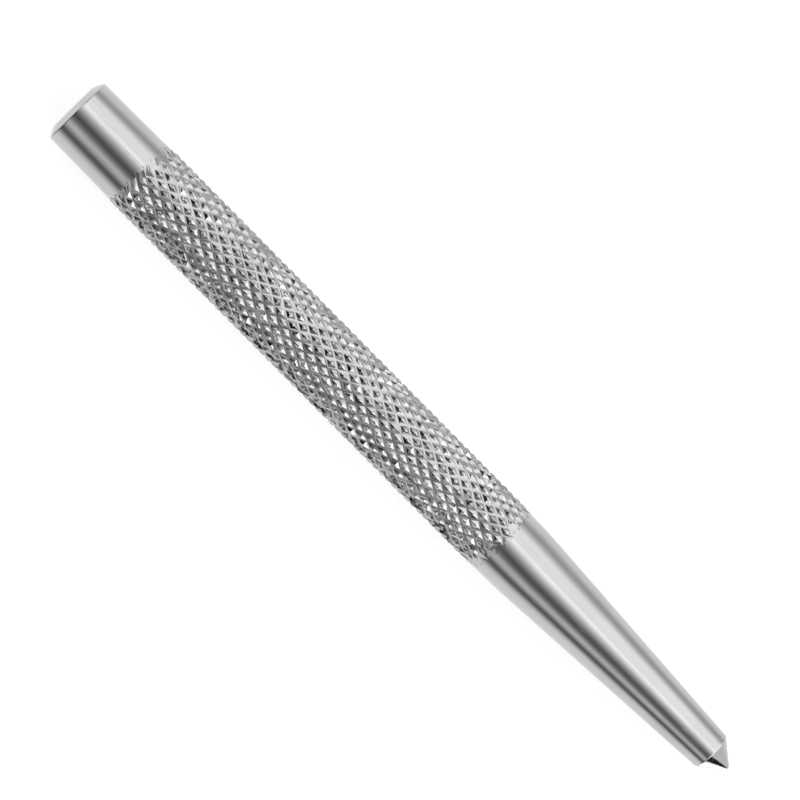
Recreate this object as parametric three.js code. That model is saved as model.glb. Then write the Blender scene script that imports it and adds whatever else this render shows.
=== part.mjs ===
// Center punch: one bar of tool steel, turned, knurled, hardened and ground bright.
// Millimetres, +Z up. It lies on its knurled grip along X, as it does on a bench:
// the striking face is at -X, the point is at +X, and the grip's crests touch z = 0.

import * as THREE from 'three';

// Lengths along the bar, measured from the striking face.
const LENGTH = 120;
const CHAMFER_LENGTH = 0.75;
const GRIP_START = 11.4;
const TAPER_BLEND_LENGTH = 6;

// Radii of the bar's zones.
const FACE_RADIUS = 3.4;
const HEAD_RADIUS = 4.88;
const BAR_RADIUS = 5;
const POINT_BASE_RADIUS = 2.82;

// The ground point: a cone with a slightly blunt, rounded nose.
const POINT_HALF_ANGLE = THREE.MathUtils.degToRad(38);
const NOSE_RADIUS = 0.5;
const NOSE_STEPS = 3;

// The shank's taper, straight from its blend at the grip down to the point.
const TAPER_HALF_ANGLE = THREE.MathUtils.degToRad(3.5);
const BLEND_STEPS = 4;

// The diamond knurl: two sets of helical grooves that cross, with a raised diamond between them.
const KNURL_STARTS = 22;
const KNURL_ROWS = 58;
const KNURL_ROW_LENGTH = 1.1475;
const CREST_RADIUS = 5.2;
const GROOVE_RADIUS = 4.8;

const STEEL = { color: 0xcdcdcd, roughness: 0.14, metalness: 1 };

// Crests and grooves alternate around the bar, so each start takes two segments.
const SEGMENTS = 2 * KNURL_STARTS;
const SEGMENT_ANGLE = (2 * Math.PI) / SEGMENTS;

// The bar is turned so that two neighbouring lines of crests reach equally low.
const TURN = SEGMENT_ANGLE / 2;
const AXIS_HEIGHT = CREST_RADIUS * Math.cos(TURN);

const CONE_LENGTH = POINT_BASE_RADIUS / Math.tan(POINT_HALF_ANGLE);
const NOSE_CUT = NOSE_RADIUS * (1 / Math.sin(POINT_HALF_ANGLE) - 1);
const POINT_BASE = LENGTH - CONE_LENGTH + NOSE_CUT;

function at(x, radius) {
  return new THREE.Vector2(radius, x);
}

// The blend is an arc that leaves the straight bar and runs into the taper without a corner.
function taperBlend() {
  const halfBlend = TAPER_BLEND_LENGTH / 2;
  const corner = POINT_BASE - (BAR_RADIUS - POINT_BASE_RADIUS) / Math.tan(TAPER_HALF_ANGLE);
  const arcRadius = halfBlend / Math.tan(TAPER_HALF_ANGLE / 2);
  const start = corner - halfBlend;
  const points = [];
  for (let step = 0; step <= BLEND_STEPS; step++) {
    const angle = (TAPER_HALF_ANGLE * step) / BLEND_STEPS;
    const x = start + arcRadius * Math.sin(angle);
    points.push(at(x, BAR_RADIUS - arcRadius * (1 - Math.cos(angle))));
  }
  return points;
}

// The nose is a cap that starts where the cone touches it and ends on the axis.
function nose() {
  const centre = LENGTH - NOSE_RADIUS;
  const coneTouch = Math.PI / 2 - POINT_HALF_ANGLE;
  const points = [];
  for (let step = 0; step <= NOSE_STEPS; step++) {
    const angle = coneTouch * (1 - step / NOSE_STEPS);
    points.push(at(centre + NOSE_RADIUS * Math.cos(angle), NOSE_RADIUS * Math.sin(angle)));
  }
  return points;
}

function gripRows() {
  const rows = [];
  for (let row = 0; row <= KNURL_ROWS; row++) {
    rows.push(at(GRIP_START + row * KNURL_ROW_LENGTH, BAR_RADIUS));
  }
  return rows;
}

const head = [at(0, 0), at(0, FACE_RADIUS), at(CHAMFER_LENGTH, HEAD_RADIUS)];
const profile = [...head, ...gripRows(), ...taperBlend(), at(POINT_BASE, POINT_BASE_RADIUS), ...nose()];

// A lathe vertex's place in the knurl: grooves cross at the even ones, and the odd ones are crests.
function isCrossing(segment, row) {
  return (segment + row) % 2 === 0;
}

// Raises the crests and sinks the grooves. The first and the last row stay on the plain bar.
function cutKnurl(geometry) {
  const position = geometry.getAttribute('position');
  for (let segment = 0; segment <= SEGMENTS; segment++) {
    for (let row = 1; row < KNURL_ROWS; row++) {
      const vertex = segment * profile.length + head.length + row;
      const radius = isCrossing(segment, row) ? GROOVE_RADIUS : CREST_RADIUS;
      const scale = radius / BAR_RADIUS;
      position.setX(vertex, position.getX(vertex) * scale);
      position.setZ(vertex, position.getZ(vertex) * scale);
    }
  }
}

// Splits each four-sided facet of the knurl from crossing to crossing, so that the grooves run on.
function runGroovesThrough(geometry) {
  const index = geometry.getIndex();
  for (let face = 0; face < index.count; face += 6) {
    const a = index.getX(face);
    const segment = Math.floor(a / profile.length);
    const row = (a % profile.length) - head.length;
    if (row < 0 || row >= KNURL_ROWS || !isCrossing(segment, row)) continue;
    const b = index.getX(face + 1);
    const d = index.getX(face + 2);
    const c = index.getX(face + 3);
    [a, b, c, a, c, d].forEach((vertex, corner) => index.setX(face + corner, vertex));
  }
}

function punchGeometry() {
  const geometry = new THREE.LatheGeometry(profile, SEGMENTS, TURN);
  cutKnurl(geometry);
  runGroovesThrough(geometry);
  geometry.computeVertexNormals();
  return geometry;
}

// The lathe turns about Y. This lays its axis along X, with the point at +X.
const punch = new THREE.Mesh(punchGeometry(), new THREE.MeshStandardMaterial(STEEL));
punch.name = 'punch_body';
punch.rotation.z = -Math.PI / 2;
punch.position.set(-LENGTH / 2, 0, AXIS_HEIGHT);

const centerPunch = new THREE.Group();
centerPunch.add(punch);

export default centerPunch;
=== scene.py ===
# %% [markdown]
# # A center punch
#
# A center punch is one solid bar of tool steel. A machinist holds it upright by the
# knurled grip and strikes the flat end, and the ground point leaves a small dent that
# starts a drill. The bar is turned, pressed with a diamond knurl, hardened and polished.
#
# This lesson rebuilds its looks around a imported CAD model. The CAD model fixes the size and the place,
# and everything here stays inside its box. The first cell loads it and keeps its box. The punch's sizes
# are given in millimetres, and MM makes them metres.

# %% Load the CAD frame
import math
import random

import bmesh
import bpy
from mathutils import Matrix, Vector


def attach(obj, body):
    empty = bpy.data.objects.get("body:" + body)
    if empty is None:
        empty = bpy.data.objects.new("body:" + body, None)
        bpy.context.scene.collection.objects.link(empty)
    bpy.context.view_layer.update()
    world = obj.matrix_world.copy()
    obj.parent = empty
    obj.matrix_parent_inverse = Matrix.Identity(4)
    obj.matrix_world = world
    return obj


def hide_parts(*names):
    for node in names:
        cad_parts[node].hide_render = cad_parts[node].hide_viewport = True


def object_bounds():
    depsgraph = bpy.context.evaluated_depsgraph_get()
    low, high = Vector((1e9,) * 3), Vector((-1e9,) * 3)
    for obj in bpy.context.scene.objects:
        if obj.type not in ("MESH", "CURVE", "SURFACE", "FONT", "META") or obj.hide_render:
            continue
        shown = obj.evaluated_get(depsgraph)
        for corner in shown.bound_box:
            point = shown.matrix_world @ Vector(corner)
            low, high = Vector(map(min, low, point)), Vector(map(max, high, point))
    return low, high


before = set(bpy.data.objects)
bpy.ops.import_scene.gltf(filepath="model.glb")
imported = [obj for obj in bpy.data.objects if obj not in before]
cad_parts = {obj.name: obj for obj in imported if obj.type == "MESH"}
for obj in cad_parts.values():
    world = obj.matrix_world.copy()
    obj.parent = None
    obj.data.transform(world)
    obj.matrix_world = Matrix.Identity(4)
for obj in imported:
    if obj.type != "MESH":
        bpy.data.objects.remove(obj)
box_low, box_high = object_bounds()
MM = 0.001
FACE_X = box_low[0]
LENGTH = box_high[0] - box_low[0]
AXIS_HEIGHT = (box_low[2] + box_high[2]) / 2
ALONG = Vector((1, 0, 0))
print("CAD nodes", sorted(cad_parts))
print("length", round(LENGTH / MM, 2), "mm, axis height", round(AXIS_HEIGHT / MM, 3), "mm")

# %% [markdown]
# ## The camera
#
# The camera hangs half a metre above the striking end and looks down through a long
# lens, so the bar's sides stay almost parallel and the far end looks only a little
# smaller. The camera is rolled by 45 degrees, which puts the punch across the frame
# from corner to corner. The rotation angles of a camera that looks down are hard to
# read, so its directions are built as vectors here: each leans towards the next by a
# small angle, and the three become a matrix's columns.

# %% Place the camera
CAMERA_HEIGHT = 509 * MM
CAMERA_PAST_FACE = 0.9 * MM
LENS = 180
SENSOR_WIDTH = 36
NEAREST_SEEN = 10 * MM
LEAN_ALONG = math.radians(6.153)
LEAN_ASIDE = math.radians(-0.3715)
ROLL = math.radians(45.31)


def lean(direction, towards, angle):
    return direction * math.cos(angle) + towards * math.sin(angle)


down = Vector((0, 0, -1))
aside = Vector((0, -1, 0))
view = lean(lean(down, ALONG, LEAN_ALONG), aside, LEAN_ASIDE)
bar_axis = lean(ALONG, -down, LEAN_ALONG)
across = view.cross(bar_axis)
right = lean(bar_axis, -across, ROLL)
up = -lean(across, bar_axis, ROLL)

camera_data = bpy.data.cameras.new("camera")
camera_data.lens = LENS
camera_data.sensor_width = SENSOR_WIDTH
camera_data.clip_start = NEAREST_SEEN
camera = bpy.data.objects.new("camera", camera_data)
bpy.context.collection.objects.link(camera)
turn = Matrix((right, up, -view)).transposed()
place = Vector((FACE_X + CAMERA_PAST_FACE, 0, AXIS_HEIGHT + CAMERA_HEIGHT))
camera.matrix_world = Matrix.Translation(place) @ turn.to_4x4()
bpy.context.scene.camera = camera
print("view direction", [round(v, 4) for v in view], "right on up", round(right.dot(up), 5))

# %% [markdown]
# ## The floor
#
# The punch lies on a light table: a white sheet lit from below. A lit sheet shows
# almost no shadow. A large disc with some emission does the same with one object,
# and it is wide enough to reach the horizon in a low view. The sheet is glass over
# a deep white box, so the steel mirrors the box far below and not the sheet: the
# shader lets reflected rays pass through, and the sheet isn't sampled as a lamp, which
# would put its light back into the mirror. The floor belongs to the stage: it is
# rendered, but it isn't part of the punch.

# %% Lay the light table
# In metres.
TABLE_RADIUS = 4
TABLE_CORNERS = 96
SHEET_COLOUR = (0.4, 0.4, 0.4, 1)
SHEET_ROUGHNESS = 0.8
SHEET_GLOSS = 0.2
SHEET_GLOW = 0.84
floor_mesh = bmesh.new()
bmesh.ops.create_circle(floor_mesh, cap_ends=True, segments=TABLE_CORNERS, radius=TABLE_RADIUS)
floor_data = bpy.data.meshes.new("floor")
floor_mesh.to_mesh(floor_data)
floor_mesh.free()
floor = bpy.data.objects.new("floor", floor_data)
bpy.context.collection.objects.link(floor)

sheet = bpy.data.materials.new("light_table")
sheet.use_nodes = True
sheet_tree = sheet.node_tree
sheet_shader = sheet_tree.nodes["Principled BSDF"]
sheet_shader.inputs["Base Color"].default_value = SHEET_COLOUR
sheet_shader.inputs["Roughness"].default_value = SHEET_ROUGHNESS
sheet_shader.inputs["Specular IOR Level"].default_value = SHEET_GLOSS
sheet_shader.inputs["Emission Color"].default_value = (1, 1, 1, 1)
sheet_shader.inputs["Emission Strength"].default_value = SHEET_GLOW
see_through = sheet_tree.nodes.new("ShaderNodeBsdfTransparent")
ray = sheet_tree.nodes.new("ShaderNodeLightPath")
glass = sheet_tree.nodes.new("ShaderNodeMixShader")
sheet_tree.links.new(ray.outputs["Is Glossy Ray"], glass.inputs[0])
sheet_tree.links.new(sheet_shader.outputs[0], glass.inputs[1])
sheet_tree.links.new(see_through.outputs[0], glass.inputs[2])
sheet_tree.links.new(glass.outputs[0], sheet_tree.nodes["Material Output"].inputs["Surface"])
sheet.cycles.emission_sampling = "NONE"
floor_data.materials.append(sheet)
print("light table", 2 * TABLE_RADIUS, "m across")

# %% [markdown]
# ## The light
#
# Polished steel has hardly any colour of its own: it shows what is around it. A few
# lamps would leave it black with bright dots. So a whole studio is drawn as
# surroundings, in the world's shader, where each box and board is a smooth step over
# the direction that a ray leaves in. Three helpers keep that short. add_node() makes a
# node and links what it is given, fade() is a smooth step, and math_of() is a sum, a
# product or the like. They work on the current tree, so the steel can use them later.

# %% Start the studio and its helpers
world = bpy.data.worlds.new("studio")
bpy.context.scene.world = world
world.use_nodes = True
tree = world.node_tree
tree.nodes.clear()


def add_node(kind, inputs=(), **settings):
    """Adds a node to the tree. Each input is a number or colour to set, or a socket to link."""
    node = tree.nodes.new(kind)
    for name, value in settings.items():
        setattr(node, name, value)
    for name, value in dict(inputs).items():
        if isinstance(value, bpy.types.NodeSocket):
            tree.links.new(value, node.inputs[name])
        else:
            node.inputs[name].default_value = value
    return node


def fade(value, start, stop, low=0.0, high=1.0):
    """A smooth step from low at start to high at stop."""
    inputs = {"Value": value, "From Min": start, "From Max": stop, "To Min": low, "To Max": high}
    return add_node("ShaderNodeMapRange", inputs, interpolation_type="SMOOTHSTEP").outputs[0]


def math_of(operation, *values):
    return add_node("ShaderNodeMath", enumerate(values), operation=operation).outputs[0]


looking = add_node("ShaderNodeTexCoord").outputs["Generated"]
direction = add_node("ShaderNodeSeparateXYZ", {0: looking}).outputs
print("studio nodes so far", len(tree.nodes))

# %% [markdown]
# ## Soft boxes beside the bench
#
# Long soft boxes hang beside the bench, and seen along the bar each one is a band at
# some angle from straight up. So one ramp over that angle holds them all: a large
# bright box on the +Y side with a crisp inner edge, a small dim one on the other side,
# the dark room between them, and the white box below the table. The boxes hang askew
# to the bar, so their reflections shift a little where the bar tapers.

# %% Draw the soft boxes
# Angle from straight up towards +Y, in degrees, and how bright the studio is there.
STUDIO = [
    (-180, 0.57), (-116, 0.56), (-105, 0.54), (-97, 0.46), (-89, 0.33), (-81, 0.16),
    (-74, 0.08), (-67, 0.09), (-60, 0.20), (-53, 0.34), (-47, 0.40), (-41, 0.37),
    (-29, 0.14), (-17, 0.055), (-6, 0.13), (0, 0.22), (11, 0.45), (23, 0.80),
    (29.5, 0.93), (31, 0.72), (45, 0.73), (60, 0.74), (67, 0.66), (74, 0.49),
    (81, 0.35), (90, 0.28), (97, 0.33), (105, 0.43), (116, 0.54), (180, 0.57),
]
# How much of a direction's run along the bar counts as run to the side.
SKEW = 0.55

skewed = math_of("MULTIPLY_ADD", direction["X"], SKEW, direction["Y"])
side_angle = math_of("ARCTAN2", skewed, direction["Z"])
ramp_inputs = {"Value": side_angle, "From Min": -math.pi, "From Max": math.pi}
ramp_place = add_node("ShaderNodeMapRange", ramp_inputs)
ramp = add_node("ShaderNodeValToRGB", {0: ramp_place.outputs[0]})
stops = ramp.color_ramp.elements
stops.remove(stops[-1])
for number, (angle, brightness) in enumerate(STUDIO):
    place = (angle + 180) / 360
    stop = stops[0] if number == 0 else stops.new(place)
    stop.position = place
    stop.color = (brightness, brightness, brightness, 1)
print("studio ramp", len(stops), "stops")

# %% [markdown]
# ## Black room and white board past the ends
#
# The plain bar mirrors only what is beside it, but the knurl's small slopes look along
# the bar too, and without something dark and something light there they would look
# flat. So the boxes stop short of the head, and above the bench the room beyond it is
# black. A gobo, which is a black board, covers the boxes past the point on the -Y side.
# A white board stands past the point everywhere else. It is dimmer below the bench's
# height and straight ahead of the point. Each pair of values is where a fade starts and
# where it ends, in parts of a direction of length 1: X towards the point, Y to the
# side and Z up.

# %% Darken the head's end and stand a board past the point
BLACK = 0.02
HEAD_END_BLACK, HEAD_END_LIT = -0.34, -0.15
ASIDE_START, ASIDE_END = -0.62, -0.42
BENCH_CLEAR, BENCH_LIT = 0.30, 0.12
GOBO_CLEAR, GOBO_BLACK = 0.38, 0.50
BOARD_START, BOARD_FULL = 0.42, 0.52
AHEAD_START, AHEAD_END = 0.84, 0.90
BOARD_FOOT, BOARD_FOOT_FULL = 0.0, 0.05
BOARD_LIGHT, BOARD_SHADE = 1.15, 0.45

past_head = fade(direction["X"], HEAD_END_BLACK, HEAD_END_LIT, BLACK, 1)
not_aside = fade(direction["Y"], ASIDE_START, ASIDE_END)
below = math_of("MULTIPLY", fade(direction["Z"], BENCH_CLEAR, BENCH_LIT), not_aside)
gobo = math_of("MAXIMUM", fade(direction["X"], GOBO_CLEAR, GOBO_BLACK, 1, BLACK), not_aside)
ends = math_of("MULTIPLY", math_of("MAXIMUM", past_head, below), gobo)
boxes = math_of("MULTIPLY", ramp.outputs[0], ends)
past_tip = math_of("MULTIPLY", fade(direction["X"], BOARD_START, BOARD_FULL), not_aside)
not_ahead = fade(direction["X"], AHEAD_START, AHEAD_END, 1, 0)
raised = math_of("MULTIPLY", fade(direction["Z"], BOARD_FOOT, BOARD_FOOT_FULL), not_ahead)
board_light = math_of("MULTIPLY_ADD", raised, BOARD_LIGHT - BOARD_SHADE, BOARD_SHADE)
board = math_of("MULTIPLY", past_tip, board_light)
print("studio nodes so far", len(tree.nodes))

# %% [markdown]
# ## Spots for the cone, and one from behind
#
# The cone is small and steep, so it mirrors one small area past the point. A black
# flag there gives it a dark wedge, and a bright patch below the flag a white one. A
# round lamp high beyond the head puts a highlight along the bar when it is seen from
# the point. Each spot is a disc with a soft edge around a direction. The brightest
# thing in each direction counts, except that the flag covers all that is behind it.

# %% Hang the flag, the patch and the lamp
FLAG_DIRECTION, FLAG_SIZE = (0.955, -0.285, -0.085), 10.5
PATCH_DIRECTION, PATCH_SIZE = (0.72, -0.42, -0.55), 17
LAMP_DIRECTION, LAMP_SIZE, LAMP_LIGHT = (-0.66, 0.30, 0.69), 17, 0.8
EDGE_OUTSIDE, EDGE_INSIDE = 2, 1


def round_spot(towards, size, low=0.0, high=1.0):
    """high inside a disc of the surroundings, size degrees from its middle, and low outside it."""
    middle = Vector(towards).normalized()
    closeness = add_node("ShaderNodeVectorMath", {0: looking, 1: middle}, operation="DOT_PRODUCT")
    outside = math.cos(math.radians(size + EDGE_OUTSIDE))
    inside = math.cos(math.radians(size - EDGE_INSIDE))
    return fade(closeness.outputs["Value"], outside, inside, low, high)


patch = round_spot(PATCH_DIRECTION, PATCH_SIZE, 0, BOARD_LIGHT)
flag = round_spot(FLAG_DIRECTION, FLAG_SIZE, 1, BLACK)
lamp = round_spot(LAMP_DIRECTION, LAMP_SIZE, 0, LAMP_LIGHT)
spots = math_of("MAXIMUM", patch, lamp)
brightest = math_of("MAXIMUM", math_of("MAXIMUM", boxes, board), spots)
studio = math_of("MULTIPLY", brightest, flag)
print("studio nodes so far", len(tree.nodes))

# %% [markdown]
# ## The backdrop
#
# The studio is there for the steel to mirror. Behind the punch it would only disturb,
# so a ray that comes straight from the camera sees a plain pale backdrop, and every
# other ray sees the studio. A light path node tells the two apart. The Standard view
# keeps the backdrop's white as bright as it is set.

# %% Hang a pale backdrop
STUDIO_STRENGTH = 1.6
BACKDROP_COLOUR = (0.97, 0.97, 0.97, 1)

studio_light = add_node("ShaderNodeBackground", {"Color": studio, "Strength": STUDIO_STRENGTH}).outputs[0]
backdrop = add_node("ShaderNodeBackground", {"Color": BACKDROP_COLOUR}).outputs[0]
seen_directly = add_node("ShaderNodeLightPath").outputs["Is Camera Ray"]
choose = add_node("ShaderNodeMixShader", {0: seen_directly, 1: studio_light, 2: backdrop})
add_node("ShaderNodeOutputWorld", {"Surface": choose.outputs[0]})
bpy.context.scene.view_settings.view_transform = "Standard"
print("studio nodes", len(tree.nodes))

# %% [markdown]
# ## The knurl's lattice
#
# A knurling tool presses two toothed wheels into the turning bar. One leaves
# right-hand grooves, the other left-hand grooves, and the steel between the grooves
# is pushed up into rows of diamonds. Sculpting 1,276 diamonds by hand is hopeless,
# and a bump map would leave the outline smooth. A lattice has the pattern in its
# edges: a column of points is spun around the axis, each four-sided face is split
# along its diagonal from groove to groove, and the points in the middle of the
# diamonds are dissolved. What is left is one face for each diamond.

# %% Spin the lattice and split it along the grooves
# Grooves of each hand around the bar.
STARTS = 22
ROWS = 58
ROW_LENGTH = 1.1475
GRIP_START = 11.4
GRIP_END = GRIP_START + ROWS * ROW_LENGTH
BAR_RADIUS = 5.0
AROUND = 2 * STARTS
STEP_ANGLE = 2 * math.pi / AROUND
# Points closer than this are one point.
SAME_POINT = 1e-4 * MM


def bar_point(along, radius):
    """A point straight below the axis, along mm from the striking face."""
    return Vector((FACE_X + along * MM, 0, -radius * MM))


def spin_profile(mesh, outline, steps, start_angle=0.0):
    """Spins an outline, given as pairs of station and radius in mm, once around the axis."""
    verts = [mesh.verts.new(bar_point(x, r)) for x, r in outline]
    edges = [mesh.edges.new(pair) for pair in zip(verts, verts[1:])]
    bmesh.ops.rotate(mesh, verts=verts, cent=(0, 0, 0), matrix=Matrix.Rotation(start_angle, 3, "X"))
    bmesh.ops.spin(
        mesh, geom=verts + edges, cent=(0, 0, 0), axis=ALONG, angle=2 * math.pi,
        steps=steps, use_merge=True, use_duplicate=False,
    )
    bmesh.ops.remove_doubles(mesh, verts=mesh.verts, dist=SAME_POINT)


def station(point):
    """How far a point lies along the bar from the striking face, in mm."""
    return (point.x - FACE_X) / MM


def row_of(vert):
    return round((station(vert.co) - GRIP_START) / ROW_LENGTH)


def step_of(vert):
    return round(math.atan2(vert.co.y, -vert.co.z) / STEP_ANGLE - 0.5) % AROUND


def in_groove(vert):
    return (row_of(vert) + step_of(vert)) % 2 == 0


knurl = bmesh.new()
rows = [(GRIP_START + row * ROW_LENGTH, BAR_RADIUS) for row in range(ROWS + 1)]
spin_profile(knurl, rows, AROUND, STEP_ANGLE / 2)
for face in list(knurl.faces):
    first, second = [vert for vert in face.verts if in_groove(vert)]
    bmesh.utils.face_split(face, first, second)
middles = [v for v in knurl.verts if not in_groove(v) and 0 < row_of(v) < ROWS]
bmesh.ops.dissolve_verts(knurl, verts=middles)
print("lattice faces", len(knurl.faces), "points", len(knurl.verts))

# %% [markdown]
# ## Where the knurl begins and ends
#
# The two wheels do not start at the same place: the right-hand grooves reach about
# a millimetre further towards the head, and taper out there as fine points. So the
# left-hand edges are dissolved in the first row. At the rims, short edges that split
# a half diamond are dissolved too, so that each half diamond is one face.

# %% Open the first row and tidy the rims
def hand(edge):
    """1 on a right-hand groove, -1 on a left-hand one, 0 on any other edge."""
    a, b = sorted(edge.verts, key=row_of)
    if row_of(b) - row_of(a) != 1 or not (in_groove(a) and in_groove(b)):
        return 0
    return 1 if (step_of(b) - step_of(a)) % AROUND == 1 else -1


def crosses_half_diamond(edge):
    a, b = edge.verts
    on_rim = {row_of(a), row_of(b)} & {0, ROWS}
    return row_of(a) != row_of(b) and on_rim and in_groove(a) != in_groove(b)


bmesh.ops.dissolve_edges(knurl, edges=[e for e in knurl.edges if crosses_half_diamond(e)])
first_left_hand = [e for e in knurl.edges if hand(e) == -1 and min(map(row_of, e.verts)) == 0]
bmesh.ops.dissolve_edges(knurl, edges=first_left_hand)
grooves = [e for e in knurl.edges if hand(e) != 0]
print("groove edges", len(grooves), "faces", len(knurl.faces))

# %% [markdown]
# ## Grooves
#
# The lattice's points sink to the bottom of the grooves. The wheels go in gradually,
# and on one side of the bar a little earlier than on the other, so the knurl's ends
# are uneven. pressed() says how deep the wheels have gone in at a point, and the
# grooves and the diamonds both follow it. A real knurl is never perfectly even inside
# either, because the wheels slip and the steel tears a little, so each point also
# moves by a few hundredths of a millimetre. The random numbers have a seed, and every
# run gives the same punch. A bevel then makes each groove's line a narrow flat floor,
# as the worn tips of the wheel's teeth would. The two rims get more points and are
# squared up, and where nothing is pressed the points go back to the round bar.

# %% Sink and widen the grooves
GROOVE_RADIUS = 4.845
GROOVE_WIDTH = 0.085
RIM_CUTS = 3
WOBBLE = 0.035
PRESS_LENGTH = 1.3
# How late the pressing starts and how early it ends, and how much that differs across the bar.
START_LAG, START_SKEW = 0.5, 0.5
END_LEAD, END_SKEW = 0.35, 0.3
RAGGED = 0.18
chance = random.Random(7)


def pressed(point):
    """How deep the wheels have gone in, from 0 at the knurl's ragged ends to 1 inside it."""
    side = -point.y / math.hypot(point.y, point.z)
    start = GRIP_START + START_LAG - START_SKEW * side + chance.uniform(-RAGGED, RAGGED)
    end = GRIP_END - END_LEAD - END_SKEW * side + chance.uniform(-RAGGED, RAGGED)
    room = min(station(point) - start, end - station(point)) / PRESS_LENGTH
    room = min(max(room, 0.0), 1.0)
    return room * room * (3 - 2 * room)


def set_radius(vert, radius):
    scale = radius * MM / math.hypot(vert.co.y, vert.co.z)
    vert.co.y *= scale
    vert.co.z *= scale


for vert in knurl.verts:
    if 0 < row_of(vert) < ROWS:
        depth = pressed(vert.co)
        set_radius(vert, BAR_RADIUS - (BAR_RADIUS - GROOVE_RADIUS) * depth)
        vert.co += Vector([chance.uniform(-WOBBLE, WOBBLE) * depth * MM for _ in range(3)])
widened = bmesh.ops.bevel(
    knurl, geom=grooves, offset=GROOVE_WIDTH * MM, segments=2, profile=0.5,
    affect="EDGES", material=-1, clamp_overlap=True,
)
bmesh.ops.delete(knurl, geom=[e for e in knurl.edges if not e.link_faces], context="EDGES")
rim_edges = [edge for edge in knurl.edges if edge.is_boundary]
bmesh.ops.bisect_edges(knurl, edges=rim_edges, cuts=RIM_CUTS)
grip_middle = (GRIP_START + GRIP_END) / 2
for vert in knurl.verts:
    if vert.is_boundary:
        rim = GRIP_START if station(vert.co) < grip_middle else GRIP_END
        vert.co.x = FACE_X + rim * MM
for vert in knurl.verts:
    depth = pressed(vert.co)
    radius = math.hypot(vert.co.y, vert.co.z) / MM
    set_radius(vert, radius * depth + BAR_RADIUS * (1 - depth))
groove_faces = set(widened["faces"])
diamonds = [face for face in knurl.faces if face not in groove_faces]
print("diamonds", len(diamonds), "groove faces", len(groove_faces))

# %% [markdown]
# ## Diamonds
#
# Each diamond is raised in rings, from its outline in the grooves inwards: a soft
# toe, the steep slope, a soft shoulder, and a low dome in place of a sharp tip,
# because the wheels were not pressed in to their full depth. inset_individual adds
# one ring to every diamond at once, and each ring's points are then set to their own
# height. The dome's ring is left out on the cut diamonds at the knurl's ends, which
# have no room for it. The corners that run up the diamonds stay crisp, because the
# finished mesh is shaded smooth only where its faces meet at less than forty degrees.

# %% Raise the diamonds in rings
CREST_RADIUS = 5.15
DOME_RADIUS = 5.175
# Each ring's width in mm, and the share of the height that it has reached.
RINGS = [(0.03, 0.06), (0.32, 0.94), (0.03, 1.0)]
DOME_WIDTH = 0.07
CREST_WOBBLE = 0.03

bmesh.ops.recalc_face_normals(knurl, faces=knurl.faces)


def add_ring(faces, width, radius):
    """Insets each face by width and lifts its points to a radius, less where the knurl is shallow."""
    bmesh.ops.inset_individual(knurl, faces=faces, thickness=width * MM, depth=0, use_even_offset=True)
    for face in faces:
        for vert in face.verts:
            lift = radius - BAR_RADIUS - chance.uniform(0, CREST_WOBBLE)
            set_radius(vert, BAR_RADIUS + lift * pressed(vert.co))


def is_whole(face):
    """True where the face keeps at least half a row away from both of the knurl's ends."""
    return all(0.5 < (station(v.co) - GRIP_START) / ROW_LENGTH < ROWS - 0.5 for v in face.verts)


height = CREST_RADIUS - GROOVE_RADIUS
for width, share in RINGS:
    add_ring(diamonds, width, GROOVE_RADIUS + height * share)
add_ring([face for face in diamonds if is_whole(face)], DOME_WIDTH, DOME_RADIUS)
print("knurl faces", len(knurl.faces))

# %% [markdown]
# ## The head
#
# Everything else on the bar is turned, so half of its outline, spun around the axis,
# makes it. A perfectly sharp edge isn't real and would catch no light, so each corner
# of the outline is a short arc instead of a point. The chamfer is rolled a little
# outwards by use, so it has one more corner in its middle. The striking face has the
# fine rings that the lathe's tool leaves as it moves to the middle. The outline stops
# just short of the knurl, and the gap is bridged when the lengths are joined.

# %% Outline and spin the head
HEAD_RADIUS = 4.88
FACE_RADIUS = 3.4
CHAMFER_LENGTH = 0.75
CHAMFER_BULGE = 0.07
CHAMFER_SOFTNESS = 0.44
CHAMFER_STEPS = 6
FACE_EDGE_SOFTNESS = 0.22
CORNER_SOFTNESS = 0.09
FACE_RIM = 0.3
RING_COUNT = 11
RING_DEPTH = 0.012
RING_PEAK = 0.7
SPIN_STEPS = 4 * AROUND
JOIN_GAP = 0.06


def soften(outline, corner, size, steps=4):
    """Replaces one corner of an outline by a short arc that starts size mm away."""
    before, at, after = (Vector(outline[corner + k]) for k in (-1, 0, 1))
    start = at + (before - at).normalized() * size
    end = at + (after - at).normalized() * size
    arc = []
    for step in range(steps + 1):
        t = step / steps
        arc.append(tuple(start * (1 - t) ** 2 + at * 2 * t * (1 - t) + end * t * t))
    return outline[:corner] + arc + outline[corner + 1:]


rings_radius = FACE_RADIUS - FACE_RIM
chamfer_middle = (CHAMFER_LENGTH / 2 - CHAMFER_BULGE, (FACE_RADIUS + HEAD_RADIUS) / 2 + CHAMFER_BULGE)
head_outline = [
    (0, rings_radius), (0, FACE_RADIUS), chamfer_middle,
    (CHAMFER_LENGTH, HEAD_RADIUS), (GRIP_START - JOIN_GAP, BAR_RADIUS),
]
head_outline = soften(head_outline, 3, CORNER_SOFTNESS)
head_outline = soften(head_outline, 2, CHAMFER_SOFTNESS, steps=CHAMFER_STEPS)
head_outline = soften(head_outline, 1, FACE_EDGE_SOFTNESS)
face_rings = []
spacing = rings_radius / RING_COUNT
for ring in range(RING_COUNT):
    face_rings += [(0.0, spacing * ring), (RING_DEPTH, spacing * (ring + RING_PEAK))]
head = bmesh.new()
spin_profile(head, face_rings + head_outline, SPIN_STEPS)
print("head faces", len(head.faces))

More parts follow.
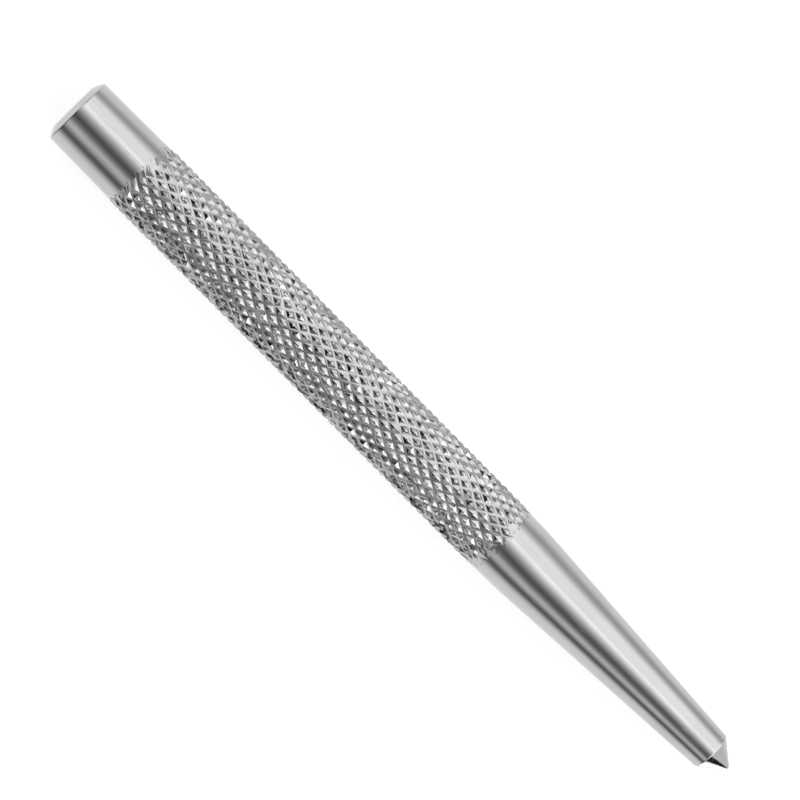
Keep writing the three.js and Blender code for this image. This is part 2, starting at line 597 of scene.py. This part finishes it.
# %% [markdown]
# ## Nicks
#
# A hammer's blows leave small nicks along the striking face's edge. Each nick is a
# round dent: the points near its middle move into the steel, the nearest the most.
# The random places have their own seed, so the knurl's numbers stay the same if a
# nick is added.

# %% Strike a few nicks into the head
NICKS = 14
NICK_SIZE = (0.18, 0.38)
NICK_DEPTH = 0.12
NICK_BAND = (FACE_RADIUS - 0.1, FACE_RADIUS + 0.5)
# How far the chamfer falls back for each millimetre outwards.
CHAMFER_SLOPE = 0.5

blow = random.Random(3)
for _ in range(NICKS):
    around = blow.uniform(-math.pi, math.pi)
    ring_radius = blow.uniform(*NICK_BAND)
    depth_in = max(0.0, ring_radius - FACE_RADIUS) * CHAMFER_SLOPE
    middle = bar_point(depth_in, ring_radius)
    middle.rotate(Matrix.Rotation(around, 3, "X"))
    size = blow.uniform(*NICK_SIZE) * MM
    for vert in head.verts:
        closeness = 1 - (vert.co - middle).length / size
        if closeness > 0:
            vert.co += ALONG * (size * NICK_DEPTH * closeness * (2 - closeness))
print("nicks", NICKS)

# %% [markdown]
# ## The shank and the point
#
# The shank is turned too. It leaves the straight bar in a long arc, narrows by three
# and a half degrees to a side, and ends in the ground cone with a nose that use has
# rounded. The outline's places are worked out backwards from the tip, because the
# bar's length and the cone's angle are what a maker would measure.

# %% Outline and spin the shank and the point
POINT_BASE_RADIUS = 2.82
POINT_HALF_ANGLE = math.radians(38)
POINT_BASE_SOFTNESS = 0.06
NOSE_RADIUS = 0.5
NOSE_STEPS = 8
TAPER_HALF_ANGLE = math.radians(3.5)
TAPER_BLEND = 6
TAPER_BLEND_STEPS = 14

total = LENGTH / MM
nose_middle = total - NOSE_RADIUS
cone_length = POINT_BASE_RADIUS / math.tan(POINT_HALF_ANGLE)
nose_cut = NOSE_RADIUS * (1 / math.sin(POINT_HALF_ANGLE) - 1)
point_base = total - cone_length + nose_cut
taper_corner = point_base - (BAR_RADIUS - POINT_BASE_RADIUS) / math.tan(TAPER_HALF_ANGLE)


def on_nose(angle):
    """The outline's point on the nose, at an angle from the bar's axis."""
    return nose_middle + NOSE_RADIUS * math.cos(angle), NOSE_RADIUS * math.sin(angle)


nose_touch = math.pi / 2 - POINT_HALF_ANGLE
shank_outline = [
    (GRIP_END + JOIN_GAP, BAR_RADIUS), (taper_corner, BAR_RADIUS),
    (point_base, POINT_BASE_RADIUS), on_nose(nose_touch),
]
shank_outline = soften(shank_outline, 2, POINT_BASE_SOFTNESS)
shank_outline = soften(shank_outline, 1, TAPER_BLEND / 2, steps=TAPER_BLEND_STEPS)
for step in range(1, NOSE_STEPS + 1):
    shank_outline.append(on_nose(nose_touch * (1 - step / NOSE_STEPS)))
shank = bmesh.new()
spin_profile(shank, shank_outline, SPIN_STEPS)
print("shank faces", len(shank.faces), "point base at", round(point_base, 2), "mm")

# %% [markdown]
# ## One closed skin
#
# The three lengths become one mesh, as the punch is one piece of steel. The rims of
# the knurl and the turned rings beside them need not have the same number of points,
# because bridge_loops joins two open rings whatever their number. The doubles are
# merged first, then the normals are turned outwards, then the punch is lifted from
# the axis to where it lies. At the end edges where the faces meet at more than forty
# degrees are marked sharp, and all others are shaded smooth.

# %% Join the three lengths
RING_REACH = 0.1
SAME_SEAM_POINT = 1e-3 * MM

punch_data = bpy.data.meshes.new("punch")
whole = bmesh.new()
for length in (head, knurl, shank):
    length.to_mesh(punch_data)
    whole.from_mesh(punch_data)
    length.free()


def open_ring(place):
    """The open edges around the bar within RING_REACH of a station."""
    return [
        e for e in whole.edges
        if e.is_boundary and all(abs(station(v.co) - place) < RING_REACH for v in e.verts)
    ]


for place in (GRIP_START, GRIP_END):
    ring = open_ring(place)
    print("open edges at", round(place, 2), "mm:", len(ring))
    bmesh.ops.bridge_loops(whole, edges=ring)
bmesh.ops.remove_doubles(whole, verts=whole.verts, dist=SAME_SEAM_POINT)
bmesh.ops.dissolve_degenerate(whole, edges=whole.edges, dist=SAME_POINT)
bmesh.ops.recalc_face_normals(whole, faces=whole.faces)
bmesh.ops.translate(whole, verts=whole.verts, vec=(0, 0, AXIS_HEIGHT))
for face in whole.faces:
    face.smooth = True
print("edges without two faces", sum(not e.is_manifold for e in whole.edges))
print("volume", round(whole.calc_volume() / MM**3, 1), "mm3, faces", len(whole.faces))
print("triangles", sum(len(face.verts) - 2 for face in whole.faces))

# %% Make the punch an object
CRISP_ANGLE = math.radians(40)

whole.to_mesh(punch_data)
whole.free()
punch_data.set_sharp_from_angle(angle=CRISP_ANGLE)
punch = bpy.data.objects.new("punch", punch_data)
bpy.context.collection.objects.link(punch)
print("sharp edges", sum(edge.use_edge_sharp for edge in punch_data.edges))

# %% [markdown]
# ## Where a spot lies on the bar
#
# Hardened steel that has been polished on a lathe is nearly a mirror, but not quite.
# Its marks follow the bar: rings run around the cylinder and around the middle of the
# striking face, and scratches run along it. Image textures would need the bar
# unwrapped. Object coordinates give each spot its place in the bar instead, and the
# marks stay with the steel. One number serves both kinds of ring: the distance along
# the bar plus the distance from the axis grows along either surface, so noise over
# that number alone draws rings on both. The studio's helpers add their nodes to the
# current tree, which is the steel's from here on.

# %% Start the steel and measure places on the bar
steel = bpy.data.materials.new("polished_steel")
steel.use_nodes = True
tree = steel.node_tree
shader = tree.nodes["Principled BSDF"]
shader.inputs["Metallic"].default_value = 1

place_on_bar = add_node("ShaderNodeTexCoord").outputs["Object"]
axis_inputs = {0: place_on_bar, 1: (0, 0, AXIS_HEIGHT)}
from_axis = add_node("ShaderNodeVectorMath", axis_inputs, operation="SUBTRACT").outputs[0]
parts = add_node("ShaderNodeSeparateXYZ", {0: from_axis}).outputs
y_squared = math_of("MULTIPLY", parts["Y"], parts["Y"])
z_squared = math_of("MULTIPLY", parts["Z"], parts["Z"])
distance_out = math_of("SQRT", math_of("ADD", y_squared, z_squared))
travel = math_of("ADD", parts["X"], distance_out)
print("steel nodes so far", len(tree.nodes))

# %% [markdown]
# ## Rings, blotches and scratches
#
# The polishing paper leaves rings about a tenth of a millimetre apart. Over them lie
# soft blotches from fingers and oil, and faint scratches from a life in a drawer. The
# blotches are plain noise. The scratches are noise stretched along the bar, and only
# its highest values count, which leaves a few thin lines.

# %% Draw the rings, the blotches and the scratches
RINGS_PER_METRE = 9000
BLOTCHES_PER_METRE = 160
BLOTCH_FAINT, BLOTCH_CLEAR = 0.38, 0.68
SCRATCH_SCALE = (90, 2600, 2600)
SCRATCH_FAINT, SCRATCH_CLEAR = 0.66, 0.74

ring_place = math_of("MULTIPLY", travel, RINGS_PER_METRE)
ring_inputs = {"W": ring_place, "Scale": 1, "Detail": 2, "Roughness": 0.6}
tool_rings = add_node("ShaderNodeTexNoise", ring_inputs, noise_dimensions="1D").outputs[0]
blotch_inputs = {"Vector": place_on_bar, "Scale": BLOTCHES_PER_METRE, "Detail": 4, "Roughness": 0.6}
blotch_noise = add_node("ShaderNodeTexNoise", blotch_inputs).outputs[0]
blotches = fade(blotch_noise, BLOTCH_FAINT, BLOTCH_CLEAR)
stretch_inputs = {0: place_on_bar, 1: SCRATCH_SCALE}
stretched = add_node("ShaderNodeVectorMath", stretch_inputs, operation="MULTIPLY").outputs[0]
scratch_noise = add_node("ShaderNodeTexNoise", {"Vector": stretched, "Scale": 1, "Detail": 1}).outputs[0]
scratches = fade(scratch_noise, SCRATCH_FAINT, SCRATCH_CLEAR)
print("steel nodes so far", len(tree.nodes))

# %% [markdown]
# ## Painted shade in the grooves
#
# The bottoms of the knurl's grooves get a little painted shade, a darker base colour, and they are
# rougher too. A spot is in a groove when it is on the grip and close enough to the axis. Both are plain
# distances, so the painted shade needs no image mask. It fades in over the first and the last millimetres
# of the grip.

# %% Find the bottom of the grooves
GROOVE_SHADE_RUN_IN = 2 * MM
GROOVE_SHADE_FULL = (GROOVE_RADIUS + 0.02) * MM
GROOVE_SHADE_NONE = (GROOVE_RADIUS + 0.14) * MM

grip_start = FACE_X + GRIP_START * MM
grip_end = FACE_X + GRIP_END * MM
past_start = fade(parts["X"], grip_start, grip_start + GROOVE_SHADE_RUN_IN)
before_end = fade(parts["X"], grip_end - GROOVE_SHADE_RUN_IN, grip_end, 1, 0)
on_grip = math_of("MULTIPLY", past_start, before_end)
low_down = fade(distance_out, GROOVE_SHADE_FULL, GROOVE_SHADE_NONE, 1, 0)
# Where the groove bottoms get painted shade in their colour, and more roughness.
groove_shade_mask = math_of("MULTIPLY", on_grip, low_down)
print("steel nodes so far", len(tree.nodes))

# %% [markdown]
# ## Polished steel
#
# A metal has no colour under its gloss, so its base colour is how much it mirrors. The blotches lower it
# a little, and at the bottom of the grooves it is lowered as painted shade. Most of what an eye reads as
# wear is in the roughness. It starts low, and each mark adds its own amount. Bumps of about a thousandth
# of a millimetre make the rings and the scratches catch the light.

# %% Colour the steel
STEEL_COLOUR = (0.63, 0.63, 0.63, 1)
DULL_COLOUR = (0.54, 0.54, 0.54, 1)
# The painted shade at the bottom of the grooves: a darker grey that the base colour moves towards there.
GROOVE_SHADE_COLOUR = (0.40, 0.395, 0.39, 1)
DULL_SHARE = 0.35
GROOVE_SHADE_SHARE = 0.15

dull_amount = math_of("MULTIPLY", blotches, DULL_SHARE)
dulled = add_node("ShaderNodeMixRGB", {0: dull_amount, 1: STEEL_COLOUR, 2: DULL_COLOUR}).outputs[0]
# Painted shade: the groove bottoms' base colour is darkened.
groove_shade_amount = math_of("MULTIPLY", groove_shade_mask, GROOVE_SHADE_SHARE)
groove_shaded_colour = add_node("ShaderNodeMixRGB", {0: groove_shade_amount, 1: dulled, 2: GROOVE_SHADE_COLOUR}).outputs[0]
tree.links.new(groove_shaded_colour, shader.inputs["Base Color"])
print("steel nodes so far", len(tree.nodes))

# %% Roughen the steel and raise its marks
POLISHED = 0.075
RING_ROUGHNESS = 0.05
BLOTCH_ROUGHNESS = 0.035
SCRATCH_ROUGHNESS = 0.12
GRIP_ROUGHNESS = 0.05
# Extra roughness where the grooves get their painted shade.
GROOVE_BOTTOM_ROUGHNESS = 0.10
RING_HEIGHT = 0.35e-3 * MM
SCRATCH_DEPTH = 1.2e-3 * MM

added = [
    (blotches, BLOTCH_ROUGHNESS), (scratches, SCRATCH_ROUGHNESS),
    (on_grip, GRIP_ROUGHNESS), (groove_shade_mask, GROOVE_BOTTOM_ROUGHNESS),
]
roughness = math_of("MULTIPLY_ADD", tool_rings, RING_ROUGHNESS, POLISHED)
for mark, amount in added:
    roughness = math_of("MULTIPLY_ADD", mark, amount, roughness)
tree.links.new(roughness, shader.inputs["Roughness"])

ring_bump = add_node("ShaderNodeBump", {"Height": tool_rings, "Distance": RING_HEIGHT}).outputs[0]
scratch_inputs = {"Height": scratches, "Distance": SCRATCH_DEPTH, "Normal": ring_bump}
scratch_bump = add_node("ShaderNodeBump", scratch_inputs, invert=True).outputs[0]
tree.links.new(scratch_bump, shader.inputs["Normal"])
punch_data.materials.append(steel)
print("steel nodes", len(tree.nodes))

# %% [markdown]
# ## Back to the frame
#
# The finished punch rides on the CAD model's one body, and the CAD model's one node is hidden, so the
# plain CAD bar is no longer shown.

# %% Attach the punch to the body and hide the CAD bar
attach(punch, "root")
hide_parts("punch_body")
